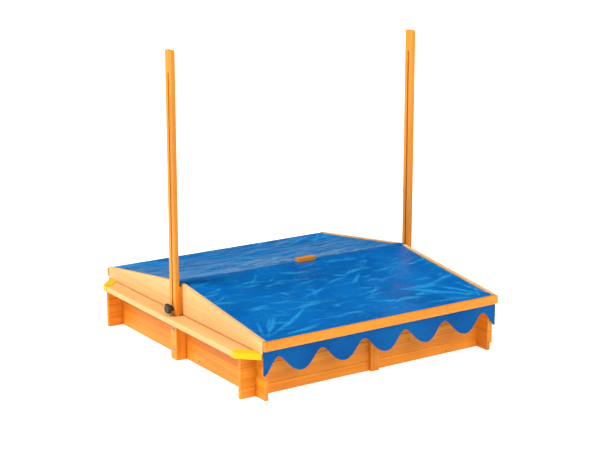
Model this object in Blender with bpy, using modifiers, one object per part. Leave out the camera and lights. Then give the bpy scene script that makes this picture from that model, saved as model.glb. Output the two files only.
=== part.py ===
"""Square wooden sandpit with two seats and a gabled fabric roof.

The walls are interlocking planks. A slotted post stands at the middle of each side wall. The roof
hangs between the posts on two bolts, which slide in the slots and are clamped by knobs: lowered it
covers the pit, raised it gives shade. Metres, +Z up, origin on the ground below the centre.
+X runs to the right along the front, and the front faces -Y.
"""

import math

import bmesh
import bpy

# Clearances
GAP = 0.0003  # between two pieces that touch
RUNNING_GAP = 0.0005  # round a bolt that slides

# Pit walls
WALL_OUT = 0.523  # outer faces, from the centre
TIP_OUT = 0.5868  # ends of the planks, from the centre
WALL_THICK = 0.015
PLANK = 0.078  # height of a full plank
WALL_HEIGHT = 2 * PLANK
WOOD_EDGE = 0.0022  # rounding of planks and boards
TRIM_EDGE = 0.0014  # rounding of battens, strips and rails
CUT_PAST = 0.01  # how far a cutter runs past the faces that it cuts
NOTCH_PAST = 0.004
SUPPORT_WIDE = 0.038
SUPPORT_THICK = 0.014
SUPPORT_HEIGHT = 0.152

# Seats and their corner caps
SEAT_IN = 0.425
SEAT_OUT = 0.6012
SEAT_END = 0.583
SEAT_THICK = 0.022
SEAT_BOTTOM = WALL_HEIGHT + GAP
SEAT_TOP = SEAT_BOTTOM + SEAT_THICK
SEAT_CORNER = 0.0674  # length of the corner cut, along each edge
CAP_THICK = 0.0022
CAP_OUT = 0.6037
CAP_FRONT = 0.586
CAP_CORNER = 0.0688
CAP_REACH = 0.096  # how far a cap runs along each edge
CAP_DEPTH = 0.024  # width of its arms at their ends
CAP_TOP = SEAT_TOP + GAP + CAP_THICK
CAP_SKIRT = 0.024
CAP_EDGE = 0.0006

# Posts
POST_IN = 0.548
POST_THICK = 0.018
POST_WIDE = 0.045
POST_HEIGHT = 1.195
POST_OUT = POST_IN + POST_THICK
POST_EDGE = 0.0018
SPACER_HEIGHT = 0.154
BOLT_HEIGHTS = {"lower": PLANK / 2, "upper": 1.5 * PLANK}
BOLT_R = 0.004
HOLE_R = BOLT_R + GAP
BOLT_END = 0.003  # thread that shows past the nut
BOLT_HEAD_R = 0.0085
BOLT_HEAD_THICK = 0.0045
BOLT_HEAD_RIM = 0.0009
BOLT_STEPS = 20
NUT_R = 0.0075
NUT_THICK = 0.0065

# Lift and pivot
PIVOT_Z = 0.207
LIFT = 0.9
SLOT_R = BOLT_R + RUNNING_GAP
WASHER_R = 0.012
WASHER_THICK = 0.0015
KNOB_R = 0.0205
KNOB_NECK_R = 0.0105
KNOB_NECK = 0.010
KNOB_HEAD = 0.018
KNOB_LOBES = 6
KNOB_BORE = 0.014
KNOB_STEPS = 36
BORE_SPARE = 0.001  # between the bolt's end and the bottom of the knob's bore
FLUTE_R = 0.009  # hollows between the knob's lobes
FLUTE_OUT = 0.0262  # their axes, from the knob's
FLUTE_START = 0.004  # where they begin, above the neck

# Roof
ROOF_BOTTOM = CAP_TOP + 0.0005
GABLE_OUT = 0.5367
GABLE_THICK = 0.015
GABLE_IN = GABLE_OUT - GABLE_THICK
GABLE_END = 0.593
GABLE_END_TOP = ROOF_BOTTOM + 0.048
GABLE_TOP = 0.303
RIDGE_HALF = 0.020
BATTEN_THICK = 0.0105
BATTEN_TOP = 0.293
SHEET = 0.0012  # fabric, with its hems
SHEET_DROP = 0.0015  # fabric below the gables' upper edges
RAIL_THICK = 0.014
RAIL_HEIGHT = 0.0445
RIDGE_POLE_HALF = 0.018
RIDGE_POLE_HEIGHT = 0.037
ROOF_HALF = GABLE_IN - GAP  # half length of what lies between the gables
STRIP_HALF = GABLE_OUT
STRIP_THICK = 0.014
STRIP_HEIGHT = 0.034
STRIP_BOTTOM = ROOF_BOTTOM + 0.012
BACK_TRIM_DROP = 0.006  # the back strip and valance sit this much lower than the front ones
HANDLE_SIZE = (0.082, 0.024, 0.017)
HANDLE_X = 0.045

# Scalloped valance, measured down from the lower edge of the strip
VALANCE_HALF = 0.536
VALANCE_TOP = STRIP_BOTTOM + 0.030
SCALLOPS = 6
NOTCH_DROP = 0.031
LOBE_DROP = 0.099
SCALLOP_FULL = 0.25  # widens the lobes and narrows the notches
SCALLOP_LEAN = 0.2  # moves each lobe's lowest point to the right
SCALLOP_SPREAD = 1.06  # spacing of the notches over an even spacing; the lobes at the ends are narrower
SCALLOP_END_POWER = 15
SCALLOP_POINTS = 14

SIDES = (("left", -1), ("right", 1))
ENDS = (("front", -1), ("back", 1))

WOOD_ORANGE = (0.72, 0.27, 0.045, 1.0)
WOOD_PALE = (0.84, 0.50, 0.20, 1.0)
FABRIC_BLUE = (0.004, 0.10, 0.38, 1.0)
CAP_YELLOW = (0.95, 0.60, 0.01, 1.0)
KNOB_BLACK = (0.012, 0.012, 0.014, 1.0)
ZINC = (0.62, 0.62, 0.60, 1.0)


def clear_scene():
    for obj in list(bpy.data.objects):
        bpy.data.objects.remove(obj, do_unlink=True)


def new_collection(name):
    collection = bpy.data.collections.new(name)
    bpy.context.scene.collection.children.link(collection)
    return collection


def new_material(name, colour, roughness, metallic=0.0):
    material = bpy.data.materials.new(name)
    material.use_nodes = True
    shader = material.node_tree.nodes["Principled BSDF"]
    shader.inputs["Base Color"].default_value = colour
    shader.inputs["Roughness"].default_value = roughness
    shader.inputs["Metallic"].default_value = metallic
    material.diffuse_color = colour
    return material


clear_scene()
PARTS = new_collection("sandpit_with_lifting_roof")
CUTTERS = new_collection("cutters")
WALL_WOOD = new_material("wall_wood", WOOD_ORANGE, 0.55)
SEAT_WOOD = new_material("seat_wood", WOOD_PALE, 0.55)
POST_WOOD = new_material("post_wood", WOOD_ORANGE, 0.5)
ROOF_WOOD = new_material("roof_wood", WOOD_PALE, 0.55)
TRIM_WOOD = new_material("trim_wood", WOOD_ORANGE, 0.5)
FABRIC = new_material("coated_fabric", FABRIC_BLUE, 0.35)
CAP_PLASTIC = new_material("yellow_plastic", CAP_YELLOW, 0.4)
KNOB_PLASTIC = new_material("black_plastic", KNOB_BLACK, 0.35)
STEEL = new_material("zinc_plated_steel", ZINC, 0.35, 1.0)


def add(name, data, material, location=(0, 0, 0), rotation=(0, 0, 0)):
    """A piece of the object, in its place."""
    obj = bpy.data.objects.new(name, data)
    data.materials.append(material)
    obj.location = location
    obj.rotation_euler = rotation
    PARTS.objects.link(obj)
    return obj


def add_cutter(name, mesh):
    cutter = bpy.data.objects.new(name, mesh)
    cutter.hide_render = True
    cutter.display_type = "WIRE"
    CUTTERS.objects.link(cutter)
    return cutter


def cut(obj, cutter):
    modifier = obj.modifiers.new("Cut", "BOOLEAN")
    modifier.operation = "DIFFERENCE"
    modifier.object = cutter


def bevel(obj, width, segments=2):
    modifier = obj.modifiers.new("Bevel", "BEVEL")
    modifier.width = width
    modifier.segments = segments
    modifier.limit_method = "ANGLE"
    modifier.angle_limit = math.radians(40)


def smooth(mesh, angle=35):
    """Shades a round piece smooth, with its corners sharp."""
    mesh.shade_smooth()
    mesh.set_sharp_from_angle(angle=math.radians(angle))


def evaluated_mesh(obj):
    """The object's mesh with its modifiers applied, or a curve's as a mesh, in the object's own space."""
    bpy.context.view_layer.update()
    return bpy.data.meshes.new_from_object(obj.evaluated_get(bpy.context.evaluated_depsgraph_get()))


def add_box(work, low, high):
    """Adds a box between two corners to a bmesh."""
    made = bmesh.ops.create_cube(work, size=1.0)["verts"]
    size = [b - a for a, b in zip(low, high)]
    middle = [(a + b) / 2 for a, b in zip(low, high)]
    bmesh.ops.scale(work, vec=size, verts=made)
    bmesh.ops.translate(work, vec=middle, verts=made)


def add_rod(work, radius, x_low, x_high, y, z, segments=20):
    """Adds a cylinder along X to a bmesh."""
    made = bmesh.ops.create_cone(
        work, cap_ends=True, segments=segments, radius1=radius, radius2=radius, depth=x_high - x_low
    )["verts"]
    for vertex in made:
        across, up, along = vertex.co
        vertex.co = (along + (x_low + x_high) / 2, y + across, z + up)


def finish_mesh(name, work):
    work.normal_update()
    bmesh.ops.recalc_face_normals(work, faces=work.faces)
    mesh = bpy.data.meshes.new(name)
    work.to_mesh(mesh)
    work.free()
    return mesh


def block(name, low, high, material, edge):
    """A board or batten between two corners, with rounded edges."""
    middle = [(a + b) / 2 for a, b in zip(low, high)]
    half = [(b - a) / 2 for a, b in zip(low, high)]
    work = bmesh.new()
    add_box(work, [-h for h in half], half)
    obj = add(name, finish_mesh(name, work), material, location=middle)
    bevel(obj, edge)
    return obj


def outline_curve(name, outlines, thickness):
    """A flat plate as a 2D curve: the first outline is its edge, the others are holes."""
    curve = bpy.data.curves.new(name, "CURVE")
    curve.dimensions = "2D"
    curve.fill_mode = "BOTH"
    curve.extrude = thickness / 2
    for outline in outlines:
        spline = curve.splines.new("POLY")
        spline.points.add(len(outline) - 1)
        for point, (x, y) in zip(spline.points, outline):
            point.co = (x, y, 0, 1)
        spline.use_cyclic_u = True
    return curve


def plate(name, outline, thickness, material, location, rotation, edge):
    """A flat board cut to an outline, with rounded edges."""
    curve = bpy.data.objects.new(name + "_outline", outline_curve(name, [outline], thickness))
    PARTS.objects.link(curve)
    mesh = evaluated_mesh(curve)
    bpy.data.objects.remove(curve)
    work = bmesh.new()
    work.from_mesh(mesh)
    bmesh.ops.remove_doubles(work, verts=work.verts, dist=0.00001)
    bmesh.ops.dissolve_limit(work, angle_limit=math.radians(0.5), verts=work.verts, edges=work.edges)
    bmesh.ops.recalc_face_normals(work, faces=work.faces)
    work.to_mesh(mesh)
    work.free()
    mesh.materials.clear()
    obj = add(name, mesh, material, location, rotation)
    bevel(obj, edge)
    return obj


def turned(name, profile, material, location, rotation, steps):
    """A turned piece about its own Z: profile is (radius, height), down the outer side."""
    work = bmesh.new()
    points = [work.verts.new((radius, 0, height)) for radius, height in profile]
    for start, end in zip(points, points[1:]):
        work.edges.new((start, end))
    mesh = bpy.data.meshes.new(name)
    work.to_mesh(mesh)
    work.free()
    lathe = bpy.data.objects.new(name + "_profile", mesh)
    PARTS.objects.link(lathe)
    screw = lathe.modifiers.new("Turn", "SCREW")
    screw.steps = steps
    screw.render_steps = steps
    screw.use_merge_vertices = True
    screw.merge_threshold = 0.00001
    mesh = evaluated_mesh(lathe)
    bpy.data.objects.remove(lathe)
    smooth(mesh)
    return add(name, mesh, material, location, rotation)


def circle(radius, points=20):
    angles = [2 * math.pi * i / points for i in range(points)]
    return [(radius * math.cos(a), radius * math.sin(a)) for a in angles]


# Rotations that lay a flat outline or a turned piece in its place
UPRIGHT_ACROSS = (math.radians(90), 0, math.radians(90))  # outline (y, z), thickness along X
UPRIGHT_ALONG = (math.radians(90), 0, 0)  # outline (x, z), thickness along Y


def outwards(side):
    """Turns a piece's own +Z to point outwards along X on this side."""
    return (0, math.radians(90 * side), 0)


def corner_columns(name, bands, bolt_holes):
    """Cutter for one pair of walls: where the other pair passes through at the four corners."""
    work = bmesh.new()
    low, high = WALL_OUT - WALL_THICK - GAP, WALL_OUT + GAP
    for x_side in (-1, 1):
        for y_side in (-1, 1):
            xs = sorted((x_side * low, x_side * high))
            ys = sorted((y_side * low, y_side * high))
            if bolt_holes:
                xs = [xs[0] - NOTCH_PAST, xs[1] + NOTCH_PAST]
            else:
                ys = [ys[0] - NOTCH_PAST, ys[1] + NOTCH_PAST]
            for bottom, top in bands:
                add_box(work, (xs[0], ys[0], bottom), (xs[1], ys[1], top))
    if bolt_holes:
        for side in (-1, 1):
            xs = sorted((side * (low - NOTCH_PAST), side * (high + NOTCH_PAST)))
            for height in BOLT_HEIGHTS.values():
                add_rod(work, HOLE_R, xs[0], xs[1], 0, height)
    return add_cutter(name, finish_mesh(name, work))


def walls():
    """Planks that lock at the corners: each gives way to a quarter plank's height at every crossing."""
    quarter = PLANK / 4
    below, above = -CUT_PAST, WALL_HEIGHT + CUT_PAST
    side_bands = ((below, quarter + GAP), (3 * quarter - GAP, 5 * quarter + GAP), (7 * quarter - GAP, above))
    end_bands = ((quarter, 3 * quarter), (5 * quarter, 7 * quarter))
    side_cutter = corner_columns("side_wall_notches", side_bands, bolt_holes=True)
    end_cutter = corner_columns("end_wall_notches", end_bands, bolt_holes=False)
    inner = WALL_OUT - WALL_THICK
    side_rows = {"lower": (0, PLANK), "upper": (PLANK, 2 * PLANK)}
    end_rows = {"lower": (0, PLANK / 2), "middle": (PLANK / 2, 1.5 * PLANK), "upper": (1.5 * PLANK, 2 * PLANK)}
    for side_name, side in SIDES:
        xs = sorted((side * inner, side * WALL_OUT))
        for row, (bottom, top) in side_rows.items():
            bottom += GAP if bottom else 0
            low, high = (xs[0], -TIP_OUT, bottom), (xs[1], TIP_OUT, top)
            cut(block(f"wall_{side_name}_{row}", low, high, WALL_WOOD, WOOD_EDGE), side_cutter)
    for end_name, end in ENDS:
        ys = sorted((end * inner, end * WALL_OUT))
        for row, (bottom, top) in end_rows.items():
            bottom += GAP if bottom else 0
            low, high = (-TIP_OUT, ys[0], bottom), (TIP_OUT, ys[1], top)
            cut(block(f"wall_{end_name}_{row}", low, high, WALL_WOOD, WOOD_EDGE), end_cutter)
        ys = sorted((end * (WALL_OUT + GAP), end * (WALL_OUT + GAP + SUPPORT_THICK)))
        low, high = (-SUPPORT_WIDE / 2, ys[0], 0), (SUPPORT_WIDE / 2, ys[1], SUPPORT_HEIGHT)
        block(f"support_{end_name}", low, high, WALL_WOOD, TRIM_EDGE)


def seats():
    """A board on each side wall, with cut corners and a hole that the post passes through."""
    for side_name, side in SIDES:
        cut_at = SEAT_END - SEAT_CORNER
        right_half = [
            (SEAT_IN, -SEAT_END),
            (SEAT_OUT - SEAT_CORNER, -SEAT_END),
            (SEAT_OUT, -cut_at),
            (SEAT_OUT, cut_at),
            (SEAT_OUT - SEAT_CORNER, SEAT_END),
            (SEAT_IN, SEAT_END),
        ]
        outline = [(side * x, y) for x, y in right_half]
        height = (SEAT_BOTTOM + SEAT_TOP) / 2
        name = f"seat_{side_name}"
        seat = plate(name, outline, SEAT_THICK, SEAT_WOOD, (0, 0, height), (0, 0, 0), WOOD_EDGE)
        xs = sorted((side * (POST_IN - RUNNING_GAP), side * (POST_OUT + RUNNING_GAP)))
        half = POST_WIDE / 2 + RUNNING_GAP
        work = bmesh.new()
        add_box(work, (xs[0], -half, SEAT_BOTTOM - CUT_PAST), (xs[1], half, SEAT_TOP + CUT_PAST))
        cut(seat, add_cutter(f"{name}_post_hole", finish_mesh(name, work)))


def corner_cap(name, side, end):
    """A moulded cap over a seat's cut corner: a flat top with a skirt on its three outer edges."""
    outer = [
        (CAP_OUT, CAP_FRONT - CAP_REACH),
        (CAP_OUT, CAP_FRONT - CAP_CORNER),
        (CAP_OUT - CAP_CORNER, CAP_FRONT),
        (CAP_OUT - CAP_REACH, CAP_FRONT),
    ]
    inner = [
        (CAP_OUT - CAP_REACH, CAP_FRONT - CAP_DEPTH),
        (CAP_OUT - CAP_DEPTH, CAP_FRONT - CAP_REACH),
    ]
    work = bmesh.new()
    top = [work.verts.new((side * x, end * y, 0)) for x, y in outer + inner]
    rim = [work.verts.new((side * x, end * y, -CAP_SKIRT)) for x, y in outer]
    plan = work.faces.new(top)
    for i in range(len(outer) - 1):
        work.faces.new((top[i], rim[i], rim[i + 1], top[i + 1]))
    bmesh.ops.recalc_face_normals(work, faces=work.faces)
    if plan.normal.z < 0:
        bmesh.ops.reverse_faces(work, faces=work.faces)
    mesh = bpy.data.meshes.new(name)
    work.to_mesh(mesh)
    work.free()
    cap = add(name, mesh, CAP_PLASTIC, location=(0, 0, CAP_TOP))
    shell = cap.modifiers.new("Wall", "SOLIDIFY")
    shell.thickness = CAP_THICK
    shell.offset = -1
    shell.use_even_offset = True
    bevel(cap, CAP_EDGE)


def bolt_profile(length):
    """A domed head with its underside at height 0, and a shank below it."""
    dome = []
    for i in range(5):
        angle = math.radians(90 - 22.5 * i)
        rise = BOLT_HEAD_RIM + (BOLT_HEAD_THICK - BOLT_HEAD_RIM) * math.sin(angle)
        dome.append((BOLT_HEAD_R * math.cos(angle), rise))
    return dome + [(BOLT_HEAD_R, 0), (BOLT_R, 0), (BOLT_R, -length), (0, -length)]


def posts():
    """Two slotted posts, each bolted through a spacer to the middle of a side wall."""
    for side_name, side in SIDES:
        xs = sorted((side * POST_IN, side * POST_OUT))
        half = POST_WIDE / 2
        post = block(f"post_{side_name}", (xs[0], -half, 0), (xs[1], half, POST_HEIGHT), POST_WOOD, POST_EDGE)
        work = bmesh.new()
        through = (xs[0] - CUT_PAST, xs[1] + CUT_PAST)
        slot = outline_curve("slot", [slot_outline()], through[1] - through[0])
        slot_mesh = mesh_of_curve(slot, ((through[0] + through[1]) / 2, 0, 0), UPRIGHT_ACROSS)
        work.from_mesh(slot_mesh)
        for height in BOLT_HEIGHTS.values():
            add_rod(work, HOLE_R, through[0], through[1], 0, height)
        cut(post, add_cutter(f"post_{side_name}_slot", finish_mesh("slot", work)))

        spacer_xs = sorted((side * (WALL_OUT + GAP), side * (POST_IN - GAP)))
        low, high = (spacer_xs[0], -half, 0), (spacer_xs[1], half, SPACER_HEIGHT)
        spacer = block(f"post_spacer_{side_name}", low, high, POST_WOOD, TRIM_EDGE)
        work = bmesh.new()
        for height in BOLT_HEIGHTS.values():
            add_rod(work, HOLE_R, spacer_xs[0] - CUT_PAST, spacer_xs[1] + CUT_PAST, 0, height)
        cut(spacer, add_cutter(f"post_spacer_{side_name}_holes", finish_mesh("holes", work)))

        for row, height in BOLT_HEIGHTS.items():
            nut_face = WALL_OUT - WALL_THICK - GAP
            head_seat = POST_OUT + GAP
            length = head_seat - nut_face + NUT_THICK + BOLT_END
            place = (side * head_seat, 0, height)
            name = f"post_bolt_{side_name}_{row}"
            turned(name, bolt_profile(length), STEEL, place, outwards(side), BOLT_STEPS)
            nut_middle = (side * (nut_face - NUT_THICK / 2), 0, height)
            hexagon = circle(NUT_R, 6)
            nut = outline_curve("nut", [hexagon, circle(HOLE_R)], NUT_THICK)
            add(f"post_nut_{side_name}_{row}", nut, STEEL, nut_middle, outwards(side))


def slot_outline():
    """A long slot with round ends, as (y, z)."""
    points = []
    for i in range(9):
        angle = math.pi * i / 8
        points.append((SLOT_R * math.cos(angle), PIVOT_Z + LIFT + SLOT_R * math.sin(angle)))
    for i in range(9):
        angle = math.pi + math.pi * i / 8
        points.append((SLOT_R * math.cos(angle), PIVOT_Z + SLOT_R * math.sin(angle)))
    return points


def mesh_of_curve(curve, location, rotation):
    """A closed mesh of a flat plate, in its place, for cutting."""
    holder = bpy.data.objects.new("outline", curve)
    holder.location = location
    holder.rotation_euler = rotation
    CUTTERS.objects.link(holder)
    mesh = evaluated_mesh(holder)
    mesh.transform(holder.matrix_world)
    bpy.data.objects.remove(holder)
    work = bmesh.new()
    work.from_mesh(mesh)
    bmesh.ops.remove_doubles(work, verts=work.verts, dist=0.00001)
    bmesh.ops.recalc_face_normals(work, faces=work.faces)
    work.to_mesh(mesh)
    work.free()
    return mesh


def gables():
    """The end boards of the roof, each with a batten that runs beside its post."""
    outline = [
        (-GABLE_END, ROOF_BOTTOM),
        (GABLE_END, ROOF_BOTTOM),
        (GABLE_END, GABLE_END_TOP),
        (RIDGE_HALF, GABLE_TOP),
        (-RIDGE_HALF, GABLE_TOP),
        (-GABLE_END, GABLE_END_TOP),
    ]
    for side_name, side in SIDES:
        place = (side * (GABLE_OUT - GABLE_THICK / 2), 0, 0)
        name = f"gable_{side_name}"
        gable = plate(name, outline, GABLE_THICK, ROOF_WOOD, place, UPRIGHT_ACROSS, TRIM_EDGE)
        xs = sorted((side * (GABLE_OUT + GAP), side * (GABLE_OUT + GAP + BATTEN_THICK)))
        half = POST_WIDE / 2
        low, high = (xs[0], -half, ROOF_BOTTOM), (xs[1], half, BATTEN_TOP)
        batten = block(f"guide_batten_{side_name}", low, high, TRIM_WOOD, TRIM_EDGE)
        reach = sorted((side * (GABLE_IN - CUT_PAST), side * (GABLE_OUT + BATTEN_THICK + CUT_PAST)))
        work = bmesh.new()
        add_rod(work, HOLE_R, reach[0], reach[1], 0, PIVOT_Z)
        hole = add_cutter(f"pivot_hole_{side_name}", finish_mesh("pivot_hole", work))
        cut(gable, hole)
        cut(batten, hole)


def roof_frame():
    """Ridge pole and edge rails between the gables, and the strips that hold the fabric's edges."""
    ridge_top = GABLE_TOP - SHEET_DROP - SHEET - GAP
    low = (-ROOF_HALF, -RIDGE_POLE_HALF, ridge_top - RIDGE_POLE_HEIGHT)
    high = (ROOF_HALF, RIDGE_POLE_HALF, ridge_top)
    block("ridge_pole", low, high, ROOF_WOOD, TRIM_EDGE)
    for end_name, end in ENDS:
        ys = sorted((end * (GABLE_END - RAIL_THICK), end * GABLE_END))
        low, high = (-ROOF_HALF, ys[0], ROOF_BOTTOM), (ROOF_HALF, ys[1], ROOF_BOTTOM + RAIL_HEIGHT)
        block(f"rail_{end_name}", low, high, ROOF_WOOD, TRIM_EDGE)
        inner = GABLE_END + 2 * SHEET + 3 * GAP
        ys = sorted((end * inner, end * (inner + STRIP_THICK)))
        bottom = STRIP_BOTTOM - (BACK_TRIM_DROP if end > 0 else 0)
        low = (-STRIP_HALF, ys[0], bottom)
        high = (STRIP_HALF, ys[1], bottom + STRIP_HEIGHT)
        block(f"strip_{end_name}", low, high, TRIM_WOOD, TRIM_EDGE)
    length, width, height = HANDLE_SIZE
    bottom = GABLE_TOP - SHEET_DROP + GAP
    low = (HANDLE_X - length / 2, -width / 2, bottom)
    high = (HANDLE_X + length / 2, width / 2, bottom + height)
    block("ridge_handle", low, high, TRIM_WOOD, WOOD_EDGE)


def tarp():
    """The roof's fabric: up one slope, over the ridge, down the other, and down behind both strips."""
    outer = GABLE_END + GAP + SHEET
    edge_top = GABLE_END_TOP - SHEET_DROP
    ridge_top = GABLE_TOP - SHEET_DROP
    tail = STRIP_BOTTOM + 0.008
    half = [(outer, tail), (outer, edge_top), (RIDGE_HALF, ridge_top)]
    inner_half = [(y - SHEET if y > RIDGE_HALF else y, z - SHEET if z > tail else z) for y, z in half]
    upper = half + [(-y, z) for y, z in reversed(half)]
    lower = inner_half + [(-y, z) for y, z in reversed(inner_half)]
    curve = outline_curve("roof_tarp", [upper + lower[::-1]], 2 * ROOF_HALF)
    add("roof_tarp", curve, FABRIC, rotation=UPRIGHT_ACROSS)


def valances():
    """Hanging scalloped edges, held between the fabric's turned-down edge and the strip."""
    points = []
    count = SCALLOPS * SCALLOP_POINTS
    for i in range(count + 1):
        turn = 2 * math.pi * i / SCALLOP_POINTS
        lean = SCALLOP_LEAN * (0.5 + 0.5 * math.cos(turn))
        lobe = 0.5 + 0.5 * math.cos(turn - SCALLOP_FULL * math.sin(turn) - lean)
        share = 2 * i / count - 1
        share = SCALLOP_SPREAD * share + (1 - SCALLOP_SPREAD) * share**SCALLOP_END_POWER
        x = VALANCE_HALF * share
        points.append((x, STRIP_BOTTOM - NOTCH_DROP - (LOBE_DROP - NOTCH_DROP) * lobe))
    outline = points + [(VALANCE_HALF, VALANCE_TOP), (-VALANCE_HALF, VALANCE_TOP)]
    for end_name, end in ENDS:
        curve = outline_curve("valance", [outline], SHEET)
        middle = end * (GABLE_END + 1.5 * SHEET + 2 * GAP)
        drop = BACK_TRIM_DROP if end > 0 else 0
        add(f"valance_{end_name}", curve, FABRIC, (0, middle, -drop), UPRIGHT_ALONG)


def pivots():
    """Bolts through gable, batten and slot, each with a washer and a clamping knob outside the post."""
    work = bmesh.new()
    for i in range(KNOB_LOBES):
        angle = 2 * math.pi * (i + 0.5) / KNOB_LOBES
        made = bmesh.ops.create_cone(
            work, cap_ends=True, segments=16, radius1=FLUTE_R, radius2=FLUTE_R, depth=2 * KNOB_HEAD
        )
        centre = (FLUTE_OUT * math.cos(angle), FLUTE_OUT * math.sin(angle), KNOB_NECK + FLUTE_START + KNOB_HEAD)
        bmesh.ops.translate(work, vec=centre, verts=made["verts"])
    flutes = finish_mesh("flutes", work)
    for side_name, side in SIDES:
        head_seat = GABLE_IN - GAP
        knob_seat = POST_OUT + 2 * GAP + WASHER_THICK
        length = knob_seat + KNOB_BORE - BORE_SPARE - head_seat
        # The head lies inside the roof, so the bolt's own +Z points inwards
        place = (side * head_seat, 0, PIVOT_Z)
        turned(f"pivot_bolt_{side_name}", bolt_profile(length), STEEL, place, outwards(-side), BOLT_STEPS)

        washer = outline_curve("washer", [circle(WASHER_R, 24), circle(HOLE_R)], WASHER_THICK)
        place = (side * (POST_OUT + GAP + WASHER_THICK / 2), 0, PIVOT_Z)
        add(f"pivot_washer_{side_name}", washer, STEEL, place, outwards(side))

        top = KNOB_NECK + KNOB_HEAD
        profile = [
            (0, top),
            (0.7 * KNOB_R, top),
            (0.92 * KNOB_R, top - 0.0015),
            (KNOB_R, top - 0.005),
            (KNOB_R, KNOB_NECK + 0.003),
            (0.85 * KNOB_R, KNOB_NECK),
            (KNOB_NECK_R, KNOB_NECK - 0.002),
            (KNOB_NECK_R, 0),
            (HOLE_R, 0),
            (HOLE_R, KNOB_BORE),
            (0, KNOB_BORE),
        ]
        place = (side * knob_seat, 0, PIVOT_Z)
        knob = turned(f"knob_{side_name}", profile, KNOB_PLASTIC, place, outwards(side), KNOB_STEPS)
        cutter = add_cutter(f"knob_{side_name}_flutes", flutes.copy())
        cutter.location = place
        cutter.rotation_euler = outwards(side)
        cut(knob, cutter)


walls()
seats()
for end_name, end in ENDS:
    for side_name, side in SIDES:
        corner_cap(f"cap_{end_name}_{side_name}", side, end)
posts()
gables()
roof_frame()
tarp()
valances()
pivots()
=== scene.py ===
import math
import random

import bmesh
import bpy
import numpy as np
from mathutils import Matrix, Vector, noise


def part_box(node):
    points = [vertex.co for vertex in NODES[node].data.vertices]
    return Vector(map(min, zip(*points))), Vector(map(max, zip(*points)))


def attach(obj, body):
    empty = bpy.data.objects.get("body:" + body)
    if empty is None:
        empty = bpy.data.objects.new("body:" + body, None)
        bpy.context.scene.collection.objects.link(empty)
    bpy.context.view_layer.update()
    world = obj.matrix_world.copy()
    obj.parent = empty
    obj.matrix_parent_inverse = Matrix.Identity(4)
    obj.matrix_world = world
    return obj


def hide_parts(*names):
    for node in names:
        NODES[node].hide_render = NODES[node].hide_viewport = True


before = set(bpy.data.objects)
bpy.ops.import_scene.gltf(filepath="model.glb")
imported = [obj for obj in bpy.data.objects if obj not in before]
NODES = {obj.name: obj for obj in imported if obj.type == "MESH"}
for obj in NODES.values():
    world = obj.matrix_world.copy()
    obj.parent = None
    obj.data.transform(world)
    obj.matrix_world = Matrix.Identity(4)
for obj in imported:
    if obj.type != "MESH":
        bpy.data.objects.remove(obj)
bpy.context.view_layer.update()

SIDES = (("left", -1), ("right", 1))
ENDS = (("front", -1), ("back", 1))

# Cloth
CLOTH_THICK = 0.0007
CLOTH_STEP = 0.0042  # spacing of the roof fabric's mesh
EDGE_SPARE = 0.0004  # between the roof fabric and each gable
ROOF_SAG = 0.009
EDGE_DIP = 0.0035  # how far the fabric dips beside a gable
CREASE_HIGHLIGHT_FULL = 0.0016  # height at which a crease's painted highlight is full
RIPPLE = 0.0022  # waves of the hanging valance
HEM = 0.009
STITCH = 0.0030
STITCH_GAP = 0.0016
STITCH_RADIUS = 0.00028
THREAD_PITCH = 0.0011  # of the weave
CREASE_COUNT = 230
CREASE_WIDTH = 0.0065  # of a pull out of a corner
CORNER_PULLS = (  # degrees from the rail, half the length, height
    (14, 0.16, 0.0018),
    (34, 0.20, 0.0026),
    (52, 0.13, 0.0020),
    (71, 0.09, 0.0014),
)
BROAD_WAVES = (  # wavelength, height
    (0.34, 0.0016),
    (0.20, 0.0013),
    (0.12, 0.0009),
    (0.075, 0.0006),
    (0.048, 0.0004),
)

# Studio
PANEL_WAY = (-0.5, 0.866, 0.0)  # towards the brightest part of the horizon
HORIZON_BRIGHT = 2.4
HORIZON_DIM = 0.80
OVERHEAD = 0.20
PANEL_EDGE = (0.30, 0.62)  # cosine of the angle from PANEL_WAY where the bright part starts and is full
HORIZON_EDGE = (0.05, 0.26)  # height at which the horizon's light starts to fade, and where it has gone
FLOOR_GLOW = 0.60
FLOOR_SIZE = 120
FLOOR_TONES = ((0.90, 0.90, 0.90), (0.93, 0.93, 0.93))
SUNS = (  # name, direction it comes from, strength, width in degrees, tint
    ("key", (-0.66, 0.15, 0.74), 3.4, 20, (1.0, 0.985, 0.96)),
    ("fill", (0.10, -0.75, 0.65), 2.0, 60, (1, 1, 1)),
)

# Camera
CAMERA_YAW = 33.68
CAMERA_PITCH = 13.92
CAMERA_DISTANCE = 6.1775
CAMERA_TARGET = (0.018, 0.0, 0.4532)
CAMERA_LENS = 92.98
SENSOR_WIDTH = 36.0

# Tones of stained softwood: early wood, late wood
WALL_TONE = ((0.86, 0.300, 0.018), (0.60, 0.150, 0.006))
POST_TONE = ((0.88, 0.335, 0.026), (0.62, 0.175, 0.008))
PALE_TONE = ((0.84, 0.500, 0.205), (0.68, 0.330, 0.100))
TRIM_TONE = ((0.80, 0.300, 0.020), (0.60, 0.175, 0.009))

FABRIC_BLUE = (0.0012, 0.142, 0.470)
FABRIC_DEEP = (0.0008, 0.098, 0.370)
# Painted highlight: the paler blue put along the crests of creases in place of the light they catch.
FABRIC_HIGHLIGHT = (0.020, 0.300, 0.640)
SHEEN_TINT = (0.10, 0.62, 1.0, 1.0)


# ---------------------------------------------------------------- materials

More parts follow.
